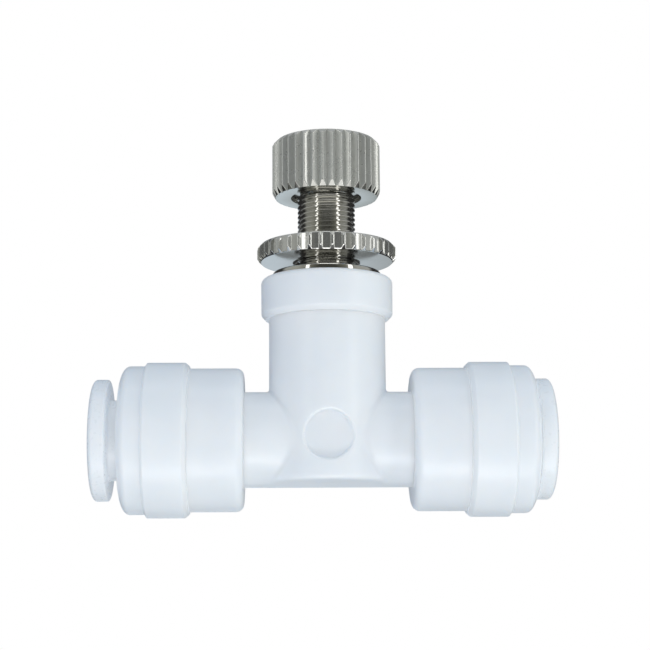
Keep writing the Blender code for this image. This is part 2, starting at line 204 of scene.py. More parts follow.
def rounded(corners, closed=True, steps=6):
    """An outline of (x, y) points from corners (x, y, fillet radius), each rounded by an arc."""
    points = []
    count = len(corners)
    for index, corner in enumerate(corners):
        here = np.array(corner[:2], float)
        size = corner[2] if len(corner) > 2 else 0.0
        if size <= 0.0 or (not closed and index in (0, count - 1)):
            points.append(tuple(here))
            continue
        before = np.array(corners[index - 1][:2], float) - here
        after = np.array(corners[(index + 1) % count][:2], float) - here
        room = 0.49 * min(np.linalg.norm(before), np.linalg.norm(after))
        before /= np.linalg.norm(before)
        after /= np.linalg.norm(after)
        half = math.acos(max(-1.0, min(1.0, float(before @ after)))) / 2
        size = min(size, room * math.tan(half))
        run = size / math.tan(half)
        middle = here + (before + after) / np.linalg.norm(before + after) * size / math.sin(half)
        first = here + before * run - middle
        last = here + after * run - middle
        turn = math.atan2(first[0] * last[1] - first[1] * last[0], float(first @ last))
        for step in range(steps + 1):
            angle = turn * step / steps
            points.append((middle[0] + first[0] * math.cos(angle) - first[1] * math.sin(angle),
                           middle[1] + first[0] * math.sin(angle) + first[1] * math.cos(angle)))
    return points


def new_piece(name, points, faces):
    mesh = bpy.data.meshes.new(name)
    mesh.from_pydata([tuple(map(float, point)) for point in points], [], faces)
    mesh.validate()
    piece = bpy.data.objects.new(name, mesh)
    bpy.context.scene.collection.objects.link(piece)
    return piece


def finish_shading(piece, angle=40.0):
    """Smooth shading that keeps flat faces flat."""
    piece.data.shade_smooth()
    piece.data.set_sharp_from_angle(angle=math.radians(angle))
    weighted = piece.modifiers.new("weighted_normals", "WEIGHTED_NORMAL")
    weighted.keep_sharp = True
    return piece


def skin(name, rings, closed):
    """A mesh over a row of rings of points. A ring of one point closes that end."""
    points = np.concatenate(rings)
    first = np.concatenate([[0], np.cumsum([len(ring) for ring in rings])])
    pairs = list(zip(range(len(rings) - 1), range(1, len(rings))))
    if closed:
        pairs.append((len(rings) - 1, 0))
    faces = []
    for low, high in pairs:
        a, b = int(first[low]), int(first[high])
        count = max(len(rings[low]), len(rings[high]))
        for step in range(count):
            after = (step + 1) % count
            if len(rings[low]) == 1:
                faces.append((a, b + after, b + step))
            elif len(rings[high]) == 1:
                faces.append((a + step, a + after, b))
            else:
                faces.append((a + step, a + after, b + after, b + step))
    return outward(new_piece(name, points, faces))


def circle(reach_out, height, steps=ROUND_STEPS):
    """One ring of points about Z, or a single point on the axis."""
    if reach_out < 1e-9:
        return np.array([[0.0, 0.0, height]])
    angles = np.arange(steps) * math.tau / steps
    return np.stack([reach_out * np.cos(angles), reach_out * np.sin(angles), np.full(steps, height)], 1)


def outward(piece):
    """Point every face away from the solid."""
    shape = bmesh.new()
    shape.from_mesh(piece.data)
    bmesh.ops.remove_doubles(shape, verts=shape.verts, dist=1e-8)
    bmesh.ops.dissolve_degenerate(shape, edges=shape.edges, dist=1e-9)
    bmesh.ops.recalc_face_normals(shape, faces=shape.faces)
    shape.to_mesh(piece.data)
    shape.free()
    return piece


def spun(name, outline, steps=ROUND_STEPS):
    """Turn an outline of (radius, height) points about Z. Off the axis it is a closed ring."""
    rings = [circle(reach_out, height, steps) for reach_out, height in outline]
    return skin(name, rings, closed=outline[0][0] > 1e-9)


def lay_along_tube(piece, side, distance=0.0):
    """Turn a piece's own +Z to point out of the valve on that side, and move it out."""
    turn = Matrix.Rotation(side * math.pi / 2, 4, "Y")
    piece.data.transform(Matrix.Translation((side * distance, 0.0, 0.0)) @ turn)
    return piece


def cut(piece, *tools):
    """Take tools out of a piece, and delete them."""
    for tool in tools:
        change = piece.modifiers.new("cut", "BOOLEAN")
        change.operation = "DIFFERENCE"
        change.solver = "EXACT"
        change.object = tool
    return apply_modifiers(piece, tools)


def apply_modifiers(piece, used=()):
    bpy.context.view_layer.update()
    evaluated = piece.evaluated_get(bpy.context.evaluated_depsgraph_get())
    mesh = bpy.data.meshes.new_from_object(evaluated)
    piece.modifiers.clear()
    old = piece.data
    piece.data = mesh
    bpy.data.meshes.remove(old)
    for tool in used:
        bpy.data.objects.remove(tool, do_unlink=True)
    return piece


def block(name, size, centre):
    x, y, z = (edge / 2 for edge in size)
    points = [(centre[0] + i * x, centre[1] + j * y, centre[2] + k * z)
              for i in (-1, 1) for j in (-1, 1) for k in (-1, 1)]
    faces = [(0, 1, 3, 2), (4, 6, 7, 5), (0, 4, 5, 1), (2, 3, 7, 6), (0, 2, 6, 4), (1, 5, 7, 3)]
    return outward(new_piece(name, points, faces))


# ---------------------------------------------------------------- the moulded tee

def soft_min(a, b, blend):
    overlap = np.maximum(blend - np.abs(a - b), 0.0) / blend
    return np.minimum(a, b) - overlap * overlap * blend / 4


def soft_max(a, b, blend):
    return -soft_min(-a, -b, blend)


def tee_distance(points):
    """Distance in mm from the tee's soft-edged surface, negative inside."""
    x, y, z = points[:, 0], points[:, 1], points[:, 2]
    arms = np.maximum(np.hypot(y, z) - ARM_RADIUS * TO_MM, np.abs(x) - ARM_END * TO_MM)
    bore = np.hypot(x, y)
    bonnet = soft_max(bore - BONNET_RADIUS * TO_MM, BONNET_BOTTOM * TO_MM - z, BASE_ROUNDING)
    bonnet = np.maximum(bonnet, z - BONNET_TOP * TO_MM)
    flat = np.maximum(np.hypot(x, z) - FLAT_RADIUS * TO_MM, FLAT_REACH * TO_MM - np.abs(y))
    surface = soft_max(soft_min(arms, bonnet, TEE_FILLET), -flat, FLAT_ROUNDING)
    holes = [np.maximum(bore - BUSHING_BORE_RADIUS * TO_MM, CHAMBER_TOP * TO_MM - z),
             np.maximum(bore - CHAMBER_RADIUS * TO_MM, np.maximum(SEAT_HEIGHT * TO_MM - z, z - 9.0)),
             np.maximum(bore - ORIFICE_RADIUS * TO_MM, np.maximum(-PASSAGE_OFFSET * TO_MM - z, z - 1.0))]
    for _, side in SIDES:
        passage = np.hypot(y, z - side * PASSAGE_OFFSET * TO_MM) - PASSAGE_RADIUS * TO_MM
        holes.append(np.maximum(passage, PASSAGE_START[side] - side * x))
    for hole in holes:
        surface = np.maximum(surface, -hole)
    return surface


def settle(points, distance, rounds=4):
    """Move points along the distance field's slope until they lie on its surface."""
    step = 1e-3
    for _ in range(rounds):
        value = distance(points)
        slope = np.empty_like(points)
        for axis in range(3):
            shift = np.zeros(3)
            shift[axis] = step
            slope[:, axis] = (distance(points + shift) - distance(points - shift)) / (2 * step)
        length = np.maximum((slope * slope).sum(1), 0.25)
        move = slope * (value / length)[:, None]
        points = points - np.clip(move, -0.1, 0.1)
    return points


def solid_rod(name, size, low, high):
    """A plain cutter or core about Z, in mm."""
    return spun(name, [(0.0, low), (size, low), (size, high), (0.0, high)], 64)


def build_tee():
    """The arms, bonnet and round flats as one skin, with moulded fillets where they meet."""
    tee = solid_rod("tee_core", BONNET_RADIUS * TO_MM, BONNET_BOTTOM * TO_MM, BONNET_TOP * TO_MM)
    arms = solid_rod("arms", ARM_RADIUS * TO_MM, -ARM_END * TO_MM, ARM_END * TO_MM)
    arms.data.transform(Matrix.Rotation(math.pi / 2, 4, "Y"))
    flats = []
    for side in (-1, 1):
        flat = solid_rod("flat", FLAT_RADIUS * TO_MM, FLAT_REACH * TO_MM, FLAT_REACH * TO_MM + 3.0)
        flat.data.transform(Matrix.Rotation(side * math.pi / 2, 4, "X"))
        flats.append(flat)
    orifice, chamber = ORIFICE_RADIUS * TO_MM, CHAMBER_RADIUS * TO_MM
    bushing_bore, seat = BUSHING_BORE_RADIUS * TO_MM, SEAT_HEIGHT * TO_MM
    floor, step, past_top = -PASSAGE_OFFSET * TO_MM, CHAMBER_TOP * TO_MM, 15.0
    bore = spun("bore", [(0.0, floor), (orifice, floor), (orifice, seat), (chamber, seat),
                         (chamber, step), (bushing_bore, step), (bushing_bore, past_top),
                         (0.0, past_top)], 64)
    lanes = []
    for word, side in SIDES:
        lane = solid_rod(word + "_lane", PASSAGE_RADIUS * TO_MM, PASSAGE_START[side], 11.0)
        lane.data.transform(Matrix.Rotation(side * math.pi / 2, 4, "Y"))
        lane.data.transform(Matrix.Translation((0.0, 0.0, side * PASSAGE_OFFSET * TO_MM)))
        lanes.append(lane)
    tools = [(arms, "UNION"), (bore, "DIFFERENCE")]
    tools += [(tool, "DIFFERENCE") for tool in lanes + flats]
    for tool, operation in tools:
        change = tee.modifiers.new("shape", "BOOLEAN")
        change.operation = operation
        change.solver = "EXACT"
        change.object = tool
    remesh = tee.modifiers.new("even_mesh", "REMESH")
    remesh.mode = "VOXEL"
    remesh.voxel_size = TEE_VOXEL
    apply_modifiers(tee, [tool for tool, _ in tools])
    points = np.empty(len(tee.data.vertices) * 3, np.float32)
    tee.data.vertices.foreach_get("co", points)
    points = settle(points.reshape(-1, 3).astype(float), tee_distance) * MM
    tee.data.vertices.foreach_set("co", points.astype(np.float32).ravel())
    tee.data.update()
    tee.data.shade_smooth()
    tee.data.set_sharp_from_angle(angle=math.radians(50))
    return tee


def build_collar():
    """The wider ring round the top of the bonnet."""
    corners = [(BUSHING_BORE_RADIUS, COLLAR_BOTTOM - 0.3 * MM),
               (BONNET_RADIUS - 0.3 * MM, COLLAR_BOTTOM - 0.3 * MM),
               (BONNET_RADIUS - 0.02 * MM, COLLAR_BOTTOM, 0.05 * MM),
               (COLLAR_RADIUS - 0.5 * MM, COLLAR_BOTTOM, 0.12 * MM),
               (COLLAR_RADIUS - 0.03 * MM, COLLAR_BOTTOM + 0.5 * MM, 0.25 * MM),
               (COLLAR_RADIUS, COLLAR_TOP, 0.55 * MM),
               (BUSHING_BORE_RADIUS, COLLAR_TOP, 0.2 * MM)]
    return finish_shading(spun("bonnet_collar", rounded(corners)))


def build_barrel(word, side):
    """The socket's outer barrel with its spigot, stepped inside for the seal and the collet."""
    floor = ARM_END - 0.4 * MM
    corners = [(0.0, floor), (ARM_RADIUS - 0.6 * MM, floor),
               (ARM_RADIUS - 0.02 * MM, BARREL_START, 0.1 * MM),
               (BARREL_RADIUS, BARREL_START, 0.85 * MM), (BARREL_RADIUS, BARREL_END, 0.12 * MM),
               (SPIGOT_RADIUS, BARREL_END), (SPIGOT_RADIUS, SPIGOT_END, 0.2 * MM),
               (COLLET_ROOM_RADIUS, SPIGOT_END, 0.2 * MM), (COLLET_ROOM_RADIUS, COLLET_ROOM_START),
               (SEAL_SEAT_RADIUS, COLLET_ROOM_START), (SEAL_SEAT_RADIUS, SEAL_SEAT_START),
               (SOCKET_RADIUS, SEAL_SEAT_START, 0.15 * MM), (SOCKET_RADIUS, TUBE_STOP), (0.0, TUBE_STOP)]
    barrel = spun(word + "_barrel", rounded(corners, closed=False))
    lane = spun("lane", [(0.0, floor - MM), (PASSAGE_RADIUS, floor - MM),
                         (PASSAGE_RADIUS, TUBE_STOP + MM), (0.0, TUBE_STOP + MM)], 48)
    lay_along_tube(barrel, side)
    lay_along_tube(lane, side)
    lane.data.transform(Matrix.Translation((0.0, 0.0, side * PASSAGE_OFFSET)))
    return finish_shading(cut(barrel, lane))


# ---------------------------------------------------------------- sockets

def build_end_cap(word, side):
    """The ring over the barrel's end, stepped in at the front and bowed over to its face."""
    node = word + "_end_cap"
    begin = start(node, side)
    face = reach(node, side)
    outer = radius(node)
    front = outer - CAP_STEP
    inner = SPIGOT_RADIUS + CAP_GAP
    corners = [(inner, begin), (front, begin, 0.08 * MM), (outer, begin + 0.42 * MM, 0.25 * MM),
               (outer, face - CAP_RIM_DEPTH, 0.12 * MM), (front, face - CAP_FRONT_DEPTH, 0.06 * MM),
               (front, face - CAP_ROUND_DEPTH)]
    outline = rounded(corners, closed=False)[:-1]
    bow = 24
    for step in range(bow + 1):
        angle = math.pi / 2 * step / bow
        outline.append((CAP_FACE_RADIUS + (front - CAP_FACE_RADIUS) * math.cos(angle) ** 0.85,
                        face - CAP_ROUND_DEPTH + CAP_ROUND_DEPTH * math.sin(angle) ** 0.95))
    outline += rounded([(CAP_FACE_RADIUS - 0.1 * MM, face), (CAP_HOLE_RADIUS, face, 0.2 * MM),
                        (CAP_HOLE_RADIUS, face - 0.9 * MM), (5.1 * MM, face - CAP_WALL_DEPTH),
                        (inner, face - CAP_WALL_DEPTH)], closed=False)
    cap = spun(node, outline)
    return finish_shading(lay_along_tube(cap, side))


def build_collet(word, side):
    """The release ring with its bowed flange and four barbed fingers."""
    node = word + "_collet"
    face = reach(node, side)
    back = face - COLLET_THICKNESS
    outer = radius(node)
    neck = COLLET_NECK_RADIUS
    tip = start(node, side)
    corners = [(SOCKET_RADIUS, tip, 0.2 * MM), (SOCKET_RADIUS, face, 0.45 * MM)]
    outline = rounded(corners + [(outer, face)], closed=False)[1:-1]
    bow = 16
    for step in range(bow + 1):
        angle = math.pi / 2 * step / bow
        outline.append((outer - 1.1 * MM * (1 - math.sin(angle)),
                        face - 0.55 * MM * (1 - math.cos(angle))))
    tail = [(outer, face - 0.6 * MM), (outer, back, 0.22 * MM), (neck, back, 0.25 * MM),
            (neck, back - BARB_FRONT), (BARB_RADIUS, back - BARB_FRONT, 0.1 * MM),
            (BARB_RADIUS, back - BARB_BACK, 0.3 * MM), (neck, tip, 0.15 * MM),
            (SOCKET_RADIUS, tip, 0.15 * MM), (SOCKET_RADIUS, tip + 1.0 * MM)]
    outline += rounded(tail, closed=False)
    collet = spun(node, outline)
    length = back - FINGER_SLOT_END - tip + 1.0 * MM
    middle = (tip - 1.0 * MM) + length / 2
    across = 3 * BARB_RADIUS
    slots = [block("slot", size, (0.0, 0.0, middle))
             for size in ((across, FINGER_SLOT_WIDTH, length), (FINGER_SLOT_WIDTH, across, length))]
    cut(collet, *slots)
    return finish_shading(lay_along_tube(collet, side))


def build_tooth(node):
    """A bevelled copy of the CAD tooth."""
    piece = bpy.data.objects.new(node + "_blade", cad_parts[node].data.copy())
    piece.data.materials.clear()
    bpy.context.scene.collection.objects.link(piece)
    outward(piece)
    bevel = piece.modifiers.new("edge", "BEVEL")
    bevel.width = 0.03 * MM
    bevel.segments = 2
    return piece


def build_o_ring(node, axis):
    """A smooth ring of round section filling the CAD ring's box."""
    low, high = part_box(node)
    centre = (low + high) / 2
    section = (high - low)[axis] / 2
    outer = radius(node)
    steps = 32
    outline = [(outer - section + section * math.cos(math.tau * step / steps),
                section * math.sin(math.tau * step / steps)) for step in range(steps)]
    ring = spun(node + "_ring", outline, 128)
    if axis == 0:
        ring.data.transform(Matrix.Rotation(math.pi / 2, 4, "Y"))
    ring.data.transform(Matrix.Translation(centre))
    ring.data.shade_smooth()
    return ring


def build_spacer(word, side):
    node = word + "_spacer_ring"
    begin, end, outer = start(node, side), reach(node, side), radius(node)
    corners = [(SPACER_INNER_RADIUS, begin, 0.12 * MM), (outer, begin, 0.1 * MM),
               (outer, end, 0.1 * MM), (SPACER_INNER_RADIUS, end, 0.15 * MM)]
    return finish_shading(lay_along_tube(spun(word + "_spacer", rounded(corners)), side))


# ---------------------------------------------------------------- metal parts

def knurled_wall(size, teeth, turn, depth, floor, low, high, chamfers):
    """Rings of points up a knurled rim of straight grooves.

    The floor is the share of the pitch that a groove's flat bottom takes. The chamfers cut both
    ends of the rim back.
    """
    count = teeth * KNURL_STEPS
    steps = np.arange(count) / KNURL_STEPS
    angles = turn + steps * math.tau / teeth
    rise = 1.0 - np.abs((steps + 0.5) % 1.0 - 0.5) * 2
    side = size - depth + depth * (rise - floor) / (1.0 - KNURL_LAND - floor)
    ridge = soft_min(soft_max(side, size - depth, KNURL_EDGE), size, KNURL_EDGE)
    (low_cut, low_rise), (high_cut, high_rise) = chamfers
    levels = list(np.linspace(low, low + low_rise * 1.2, KNURL_END_LEVELS))
    levels += list(np.linspace(low + low_rise * 1.5, high - high_rise * 1.5, KNURL_MIDDLE_LEVELS))
    levels += list(np.linspace(high - high_rise * 1.2, high, KNURL_END_LEVELS))
    rings = []
    for level in levels:
        wall = soft_min(ridge, size - low_cut * (1.0 - (level - low) / low_rise), KNURL_EDGE)
        wall = soft_min(wall, size - high_cut * (1.0 - (high - level) / high_rise), KNURL_EDGE)
        rings.append(np.stack([wall * np.cos(angles), wall * np.sin(angles), np.full(count, level)], 1))
    return rings, count


def build_knob():
    """The knurled knob, hollow below where it takes the screw's spigot."""
    low, high, size = bottom("adjusting_knob"), top("adjusting_knob"), KNOB_RADIUS
    wall, count = knurled_wall(size, KNOB_TEETH, KNOB_TOOTH_TURN, KNOB_GROOVE_DEPTH,
                               KNOB_GROOVE_FLOOR, low, high, KNOB_CHAMFERS)
    bore, bore_end = KNOB_BORE_RADIUS, high - KNOB_BORE_DEPTH
    recess_end = low + KNOB_RECESS_DEPTH
    below = rounded([(0.0, bore_end), (bore, bore_end), (bore, recess_end),
                     (KNOB_RECESS_RADIUS, recess_end, 0.08 * MM), (KNOB_RECESS_RADIUS, low, 0.1 * MM),
                     (size - RIM_INSET, low)], closed=False)
    dish = high - 0.1 * MM
    above = rounded([(size - RIM_INSET, high), (size - 1.0 * MM, high, 0.15 * MM),
                     (size - 1.2 * MM, dish, 0.15 * MM), (0.0, dish)], closed=False)
    rings = [circle(r, z, count) for r, z in below] + wall + [circle(r, z, count) for r, z in above]
    return finish_shading(skin("knurled_knob", rings, closed=False))


def build_lock_nut():
    """The thin knurled nut, countersunk on both sides."""
    low, high, size = bottom("lock_nut"), top("lock_nut"), NUT_RADIUS
    wall, count = knurled_wall(size, NUT_TEETH, NUT_TOOTH_TURN, NUT_GROOVE_DEPTH,
                               NUT_GROOVE_FLOOR, low, high, NUT_CHAMFERS)
    bore, mouth = SCREW_BORE_RADIUS, NUT_MOUTH_RADIUS
    inside = rounded([(size - RIM_INSET, high), (mouth, high, 0.06 * MM),
                      (bore, high - NUT_COUNTERSINK, 0.05 * MM), (bore, low + NUT_COUNTERSINK, 0.05 * MM),
                      (mouth, low, 0.06 * MM), (size - RIM_INSET, low)], closed=False)
    rings = wall + [circle(r, z, count) for r, z in inside]
    return finish_shading(skin("knurled_lock_nut", rings, closed=True))


def build_bushing():
    """The threaded insert, with its polished flange on the collar."""
    low, high, size = bottom("threaded_bushing"), top("threaded_bushing"), radius("threaded_bushing")
    seat = COLLAR_TOP + 0.05 * MM
    body, groove = BUSHING_RADIUS, BUSHING_GROOVE_RADIUS
    ring_low, ring_high = bottom("bushing_o_ring") - 0.15 * MM, top("bushing_o_ring") + 0.15 * MM
    corners = [(SHANK_BORE_RADIUS, low, 0.15 * MM), (body, low, 0.2 * MM), (body, ring_low, 0.05 * MM),
               (groove, ring_low), (groove, ring_high), (body, ring_high, 0.05 * MM), (body, seat),
               (size, seat, 0.1 * MM), (size, high, 0.18 * MM), (BUSHING_MOUTH_RADIUS, high, 0.08 * MM),
               (SCREW_BORE_RADIUS, high - 0.3 * MM), (SCREW_BORE_RADIUS, BUSHING_THREAD_START),
               (SHANK_BORE_RADIUS, BUSHING_THREAD_START)]
    return finish_shading(spun("bushing_insert", rounded(corners)))


def thread_columns(low, high, crest):
    """Columns of points following a right-hand helix, fading out at both ends."""
    rows = int(math.ceil((high - low) / THREAD_PITCH) + 1) * THREAD_ROWS_PER_PITCH
    row = np.arange(rows + 1)
    root = crest - THREAD_DEPTH
    columns = []
    for column in range(THREAD_COLUMNS):
        turn = column / THREAD_COLUMNS
        height = low + ((row / THREAD_ROWS_PER_PITCH) + turn - 1.0) * THREAD_PITCH
        phase = np.abs((row / THREAD_ROWS_PER_PITCH) % 1.0 - 0.5) * 2
        reach_out = root + THREAD_DEPTH * np.clip((phase - 0.12) / 0.72, 0.0, 1.0)
        outside = (height <= low) | (height >= high)
        fade = np.clip(np.minimum(height - low, high - height) / (THREAD_PITCH * 0.8), 0.0, 1.0)
        reach_out = root + (reach_out - root) * np.where(outside, 0.0, fade)
        height = np.clip(height, low, high)
        angle = math.tau * turn
        columns.append(np.stack([reach_out * math.cos(angle), reach_out * math.sin(angle), height], 1))
    return columns, rows


def build_thread():
    """The adjusting screw's thread, a true helix closed at both ends."""
    columns, rows = thread_columns(THREAD_START, bottom("adjusting_knob") + 0.45 * MM,
                                   radius("needle_stem"))
    stride = rows + 1
    faces = []
    for column in range(THREAD_COLUMNS):
        last = column + 1 == THREAD_COLUMNS
        after = 0 if last else column + 1
        lift = THREAD_ROWS_PER_PITCH if last else 0
        for row in range(rows - lift):
            faces.append((column * stride + row, after * stride + row + lift,
                          after * stride + row + 1 + lift, column * stride + row + 1))
    thread = new_piece("screw_thread", np.concatenate(columns), faces)
    shape = bmesh.new()
    shape.from_mesh(thread.data)
    bmesh.ops.remove_doubles(shape, verts=shape.verts, dist=2e-7)
    bmesh.ops.dissolve_degenerate(shape, edges=shape.edges, dist=1e-8)
    loose = [edge for edge in shape.edges if edge.is_boundary]
    bmesh.ops.holes_fill(shape, edges=loose, sides=0)
    bmesh.ops.recalc_face_normals(shape, faces=shape.faces)
    shape.to_mesh(thread.data)
    shape.free()
    thread.data.shade_smooth()
    thread.data.set_sharp_from_angle(angle=math.radians(50))
    return thread


def build_shank():
    """The parts of the adjusting screw above and below its thread."""
    tip = bottom("needle_stem")
    shank, groove = SHANK_RADIUS, SHANK_GROOVE_RADIUS
    shank_top = THREAD_START + 0.2 * MM
    ring_low, ring_high = bottom("stem_o_ring") - 0.1 * MM, top("stem_o_ring") + 0.1 * MM
    corners = [(0.0, tip), (NEEDLE_TIP_RADIUS, tip, 0.1 * MM),
               (NEEDLE_TOP_RADIUS, tip + NEEDLE_LENGTH, 0.3 * MM),
               (NEEDLE_TOP_RADIUS, SHANK_BOTTOM - 0.4 * MM, 0.1 * MM), (shank, SHANK_BOTTOM, 0.1 * MM),
               (shank, ring_low, 0.05 * MM), (groove, ring_low), (groove, ring_high),
               (shank, ring_high, 0.05 * MM), (shank, shank_top), (0.0, shank_top)]
    lower = finish_shading(spun("needle_shank", rounded(corners, closed=False), 96))
    low, high = bottom("adjusting_knob") + 0.3 * MM, top("needle_stem")
    corners = [(0.0, low), (KNOB_SPIGOT_RADIUS, low), (KNOB_SPIGOT_RADIUS, high, 0.2 * MM), (0.0, high)]
    upper = finish_shading(spun("knob_spigot", rounded(corners, closed=False), 96))
    return lower, upper


# ---------------------------------------------------------------- materials

def math_node(tree, operation, first, second):
    node = tree.nodes.new("ShaderNodeMath")
    node.operation = operation
    tree.links.new(first, node.inputs[0])
    if isinstance(second, (int, float)):
        node.inputs[1].default_value = second
    else:
        tree.links.new(second, node.inputs[1])
    return node.outputs[0]


def vector_node(tree, operation, first, second):
    node = tree.nodes.new("ShaderNodeVectorMath")
    node.operation = operation
    tree.links.new(first, node.inputs[0])
    if isinstance(second, tuple):
        node.inputs[1].default_value = second
    else:
        tree.links.new(second, node.inputs[1])
    return node.outputs["Value" if operation == "DOT_PRODUCT" else "Vector"]


def colour_mix(tree, share, first, second):
    node = tree.nodes.new("ShaderNodeMixRGB")
    tree.links.new(share, node.inputs["Fac"])
    tree.links.new(first, node.inputs["Color1"])
    tree.links.new(second, node.inputs["Color2"])
    return node.outputs["Color"]


def node_material(name):
    material = bpy.data.materials.new(name)
    material.use_nodes = True
    tree = material.node_tree
    return material, tree, tree.nodes["Principled BSDF"]


def noise(tree, vector, scale, detail=3.0):
    node = tree.nodes.new("ShaderNodeTexNoise")
    node.inputs["Scale"].default_value = scale
    node.inputs["Detail"].default_value = detail
    tree.links.new(vector, node.inputs["Vector"])
    return node.outputs["Fac"]


def ramp(tree, factor, stops):
    node = tree.nodes.new("ShaderNodeValToRGB")
    node.color_ramp.elements[0].position = stops[0][0]
    node.color_ramp.elements[0].color = (*stops[0][1], 1.0)
    node.color_ramp.elements[1].position = stops[-1][0]
    node.color_ramp.elements[1].color = (*stops[-1][1], 1.0)
    for position, colour in stops[1:-1]:
        node.color_ramp.elements.new(position).color = (*colour, 1.0)
    tree.links.new(factor, node.inputs["Fac"])
    return node.outputs["Color"]


def scaled(tree, factor, low, high):
    node = tree.nodes.new("ShaderNodeMapRange")
    node.inputs["To Min"].default_value = low
    node.inputs["To Max"].default_value = high
    tree.links.new(factor, node.inputs["Value"])
    return node.outputs["Result"]


def bump(tree, height, distance, strength=1.0):
    node = tree.nodes.new("ShaderNodeBump")
    node.inputs["Strength"].default_value = strength
    node.inputs["Distance"].default_value = distance
    tree.links.new(height, node.inputs["Height"])
    return node.outputs["Normal"]


def object_place(tree):
    return tree.nodes.new("ShaderNodeTexCoord").outputs["Object"]


def turned_place(tree):
    """Coordinates that change only with radius and height, for the marks that a lathe leaves."""
    split = tree.nodes.new("ShaderNodeSeparateXYZ")
    tree.links.new(object_place(tree), split.inputs[0])
    flat = tree.nodes.new("ShaderNodeCombineXYZ")
    tree.links.new(split.outputs["X"], flat.inputs["X"])
    tree.links.new(split.outputs["Y"], flat.inputs["Y"])
    length = tree.nodes.new("ShaderNodeVectorMath")
    length.operation = "LENGTH"
    tree.links.new(flat.outputs[0], length.inputs[0])
    joined = tree.nodes.new("ShaderNodeCombineXYZ")
    tree.links.new(length.outputs["Value"], joined.inputs["X"])
    tree.links.new(split.outputs["Z"], joined.inputs["Z"])
    return joined.outputs[0]


def moulded_plastic(name, light, shade, roughness):
    """Milky acetal: faint clouding, a fine mould texture and light that goes a little way in.

    Painted light: a glow in gaps and creases, set by an ambient occlusion node, lifts their shade and
    stands in for the light that comes through thin walls.
    """
    material, tree, shader = node_material(name)
    position = object_place(tree)
    clouds = noise(tree, position, 160.0)
    tree.links.new(ramp(tree, clouds, [(0.35, shade), (0.65, light)]), shader.inputs["Base Color"])
    grain = noise(tree, position, 2600.0, 2.0)
    tree.links.new(scaled(tree, grain, roughness - 0.05, roughness + 0.07), shader.inputs["Roughness"])
    tree.links.new(bump(tree, grain, 0.006 * MM, 0.6), shader.inputs["Normal"])
    shader.inputs["IOR"].default_value = 1.48
    shader.inputs["Subsurface Weight"].default_value = 0.7
    shader.inputs["Subsurface Radius"].default_value = (0.8, 0.9, 1.0)
    shader.inputs["Subsurface Scale"].default_value = 1.5 * MM
    # Painted light: the plastic glows where this ambient occlusion finds gaps and creases, lifting their
    # shade.
    painted_glow_occlusion = tree.nodes.new("ShaderNodeAmbientOcclusion")
    painted_glow_occlusion.inputs["Distance"].default_value = 2.5 * MM
    shader.inputs["Emission Color"].default_value = (0.93, 0.97, 1.0, 1.0)
    tree.links.new(scaled(tree, painted_glow_occlusion.outputs["AO"], 0.125, 0.0), shader.inputs["Emission Strength"])
    return material


def plated_metal(name, light, shade, roughness, marks):
    """Nickel plate over turned brass, with the lathe's fine rings showing through."""
    material, tree, shader = node_material(name)
    rings = noise(tree, turned_place(tree), 9000.0, 4.0)
    patches = noise(tree, object_place(tree), 420.0)
    tree.links.new(ramp(tree, patches, [(0.3, shade), (0.7, light)]), shader.inputs["Base Color"])
    tree.links.new(scaled(tree, rings, roughness * 0.7, roughness * 1.4), shader.inputs["Roughness"])
    tree.links.new(bump(tree, rings, marks, 0.5), shader.inputs["Normal"])
    shader.inputs["Metallic"].default_value = 1.0
    return material


def knurled_metal(name, light, shade, roughness, metallic):
    """Nickel plate as above on the chamfers and flat faces, but satin where the knurling tool ran.

    There it is also less than fully metallic, which keeps the knurling a pale grey.
    """
    material = plated_metal(name, light, shade, 0.1, 0.0006 * MM)
    tree = material.node_tree
    shader = tree.nodes["Principled BSDF"]
    split = tree.nodes.new("ShaderNodeSeparateXYZ")
    tree.links.new(tree.nodes.new("ShaderNodeTexCoord").outputs["Normal"], split.inputs[0])
    rim = math_node(tree, "LESS_THAN", math_node(tree, "ABSOLUTE", split.outputs["Z"], 0.0), 0.25)
    streaks = noise(tree, object_place(tree), 1500.0)
    satin = scaled(tree, streaks, roughness * 0.9, roughness * 1.1)
    blend = tree.nodes.new("ShaderNodeMix")
    tree.links.new(rim, blend.inputs[0])
    tree.links.new(shader.inputs["Roughness"].links[0].from_socket, blend.inputs[2])
    tree.links.new(satin, blend.inputs[3])
    tree.links.new(blend.outputs[0], shader.inputs["Roughness"])
    tree.links.new(scaled(tree, rim, 1.0, metallic), shader.inputs["Metallic"])
    return material


def moulded_rubber(name):
    material, tree, shader = node_material(name)
    grain = noise(tree, object_place(tree), 3000.0)
    tree.links.new(ramp(tree, grain, [(0.3, (0.012, 0.012, 0.013)), (0.7, (0.03, 0.03, 0.031))]),
                   shader.inputs["Base Color"])
    tree.links.new(scaled(tree, grain, 0.45, 0.7), shader.inputs["Roughness"])
    tree.links.new(bump(tree, grain, 0.01 * MM, 0.6), shader.inputs["Normal"])
    return material


# ---------------------------------------------------------------- the object

def place(piece, body, material, slot_name, *nodes):
    """Give a piece its material, and say which body it rides on and which nodes it replaces."""
    piece.data.materials.clear()
    piece.data.materials.append(material)
    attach(piece, body)
    if nodes:
        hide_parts(*nodes)


